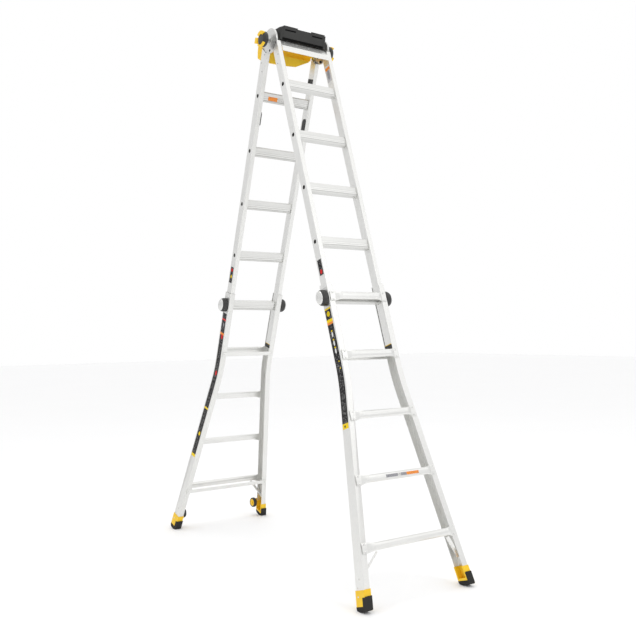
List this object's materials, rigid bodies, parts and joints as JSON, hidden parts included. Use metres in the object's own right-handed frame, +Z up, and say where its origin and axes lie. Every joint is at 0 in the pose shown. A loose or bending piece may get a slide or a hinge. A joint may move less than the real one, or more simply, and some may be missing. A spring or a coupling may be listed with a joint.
{
  "type": "multi position ladder",
  "caption": "A-frame ladder whose two telescoping sections fold on locking hinges, with flared legs, rubber feet, transport wheels, a work tray and a bucket.",
  "frame": {"origin": "on the floor, midway between the four feet, under the hinge axis", "axes": "+Z up; X runs across the ladder along the hinge axis and the rungs; the front section with the work tray stands on the -Y side, the rear section with the wheels and the bucket on the +Y side"},
  "size_m": [0.6804, 2.0081, 2.9099],
  "materials": {
    "rail_aluminium": "drawn aluminium, satin",
    "rung_aluminium": "drawn aluminium, satin",
    "fitting_aluminium": "flat aluminium strip, satin",
    "hinge_steel": "pressed steel plate, zinc plated",
    "boot_plastic": "moulded yellow plastic",
    "bucket_plastic": "moulded yellow plastic",
    "knob_plastic": "moulded black plastic",
    "tray_plastic": "moulded black plastic",
    "wheel_plastic": "moulded wheel with a hard black tyre",
    "sole_rubber": "ribbed black rubber"
  },
  "bodies": {
    "front_inner": {"front_right_inner_rail": "rail_aluminium", "front_right_hinge_plate": "hinge_steel", "front_left_inner_rail": "rail_aluminium", "front_left_hinge_plate": "hinge_steel", "front_inner_rung_1": "rung_aluminium", "front_inner_rung_2": "rung_aluminium", "front_inner_rung_3": "rung_aluminium", "front_inner_rung_4": "rung_aluminium", "front_inner_rung_5": "rung_aluminium", "top_crossbar": "fitting_aluminium", "work_tray": "tray_plastic"},
    "rear_inner": {"rear_right_inner_rail": "rail_aluminium", "rear_right_hinge_plate": "hinge_steel", "rear_left_inner_rail": "rail_aluminium", "rear_left_hinge_plate": "hinge_steel", "rear_inner_rung_1": "rung_aluminium", "rear_inner_rung_2": "rung_aluminium", "rear_inner_rung_3": "rung_aluminium", "rear_inner_rung_4": "rung_aluminium", "rear_inner_rung_5": "rung_aluminium"},
    "front_outer": {"front_right_outer_rail": "rail_aluminium", "front_right_knee_brace": "fitting_aluminium", "front_right_foot_boot": "boot_plastic", "front_right_foot_sole": "sole_rubber", "front_left_outer_rail": "rail_aluminium", "front_left_knee_brace": "fitting_aluminium", "front_left_foot_boot": "boot_plastic", "front_left_foot_sole": "sole_rubber", "front_outer_rung_5": "rung_aluminium", "front_outer_rung_6": "rung_aluminium", "front_outer_rung_7": "rung_aluminium", "front_outer_rung_8": "rung_aluminium", "front_outer_rung_9": "rung_aluminium", "front_upper_tie_bar": "fitting_aluminium", "front_lower_tie_bar": "fitting_aluminium"},
    "rear_outer": {"rear_right_outer_rail": "rail_aluminium", "rear_right_knee_brace": "fitting_aluminium", "rear_right_foot_boot": "boot_plastic", "rear_right_foot_sole": "sole_rubber", "rear_left_outer_rail": "rail_aluminium", "rear_left_knee_brace": "fitting_aluminium", "rear_left_foot_boot": "boot_plastic", "rear_left_foot_sole": "sole_rubber", "rear_outer_rung_5": "rung_aluminium", "rear_outer_rung_6": "rung_aluminium", "rear_outer_rung_7": "rung_aluminium", "rear_outer_rung_8": "rung_aluminium", "rear_outer_rung_9": "rung_aluminium", "rear_upper_tie_bar": "fitting_aluminium", "rear_lower_tie_bar": "fitting_aluminium"},
    "front_right_lock": {"front_right_lock_knob": "knob_plastic"},
    "front_left_lock": {"front_left_lock_knob": "knob_plastic"},
    "rear_right_lock": {"rear_right_lock_knob": "knob_plastic"},
    "rear_left_lock": {"rear_left_lock_knob": "knob_plastic"},
    "right_hinge_release": {"right_hinge_knob": "knob_plastic"},
    "left_hinge_release": {"left_hinge_knob": "knob_plastic"},
    "right_wheel": {"rear_right_transport_wheel": "wheel_plastic"},
    "left_wheel": {"rear_left_transport_wheel": "wheel_plastic"},
    "bucket": {"tool_bucket": "bucket_plastic"}
  },
  "joints": [
    {"name": "rear_fold", "type": "hinge", "parent": "front_inner", "child": "rear_inner", "pos_m": [0, 0, 2.84294], "axis": [1, 0, 0], "range_deg": [-36, 143.8]},
    {"name": "front_extend", "type": "slide", "parent": "front_inner", "child": "front_outer", "axis": [0, 0.3105, 0.9506], "range_m": [0, 1.2192]},
    {"name": "rear_extend", "type": "slide", "parent": "rear_inner", "child": "rear_outer", "axis": [0, -0.3105, 0.9506], "range_m": [0, 1.2192]},
    {"name": "front_right_lock_pull", "type": "slide", "parent": "front_outer", "child": "front_right_lock", "axis": [1, 0, 0], "range_m": [0, 0.018], "stiffness_N_per_m": 600, "springref_m": -0.01},
    {"name": "front_left_lock_pull", "type": "slide", "parent": "front_outer", "child": "front_left_lock", "axis": [-1, 0, 0], "range_m": [0, 0.018], "stiffness_N_per_m": 600, "springref_m": -0.01},
    {"name": "rear_right_lock_pull", "type": "slide", "parent": "rear_outer", "child": "rear_right_lock", "axis": [1, 0, 0], "range_m": [0, 0.018], "stiffness_N_per_m": 600, "springref_m": -0.01},
    {"name": "rear_left_lock_pull", "type": "slide", "parent": "rear_outer", "child": "rear_left_lock", "axis": [-1, 0, 0], "range_m": [0, 0.018], "stiffness_N_per_m": 600, "springref_m": -0.01},
    {"name": "right_hinge_release_push", "type": "slide", "parent": "front_inner", "child": "right_hinge_release", "axis": [-1, 0, 0], "range_m": [0, 0.014], "stiffness_N_per_m": 900, "springref_m": -0.008},
    {"name": "left_hinge_release_push", "type": "slide", "parent": "front_inner", "child": "left_hinge_release", "axis": [1, 0, 0], "range_m": [0, 0.014], "stiffness_N_per_m": 900, "springref_m": -0.008},
    {"name": "right_wheel_spin", "type": "hinge", "parent": "rear_outer", "child": "right_wheel", "pos_m": [0.264, 0.97262, 0.09], "axis": [1, 0, 0], "continuous": true},
    {"name": "left_wheel_spin", "type": "hinge", "parent": "rear_outer", "child": "left_wheel", "pos_m": [-0.264, 0.97262, 0.09], "axis": [1, 0, 0], "continuous": true},
    {"name": "bucket_lift", "type": "slide", "parent": "rear_inner", "child": "bucket", "axis": [0, -0.3105, 0.9506], "range_m": [0, 0.012]}
  ]
}
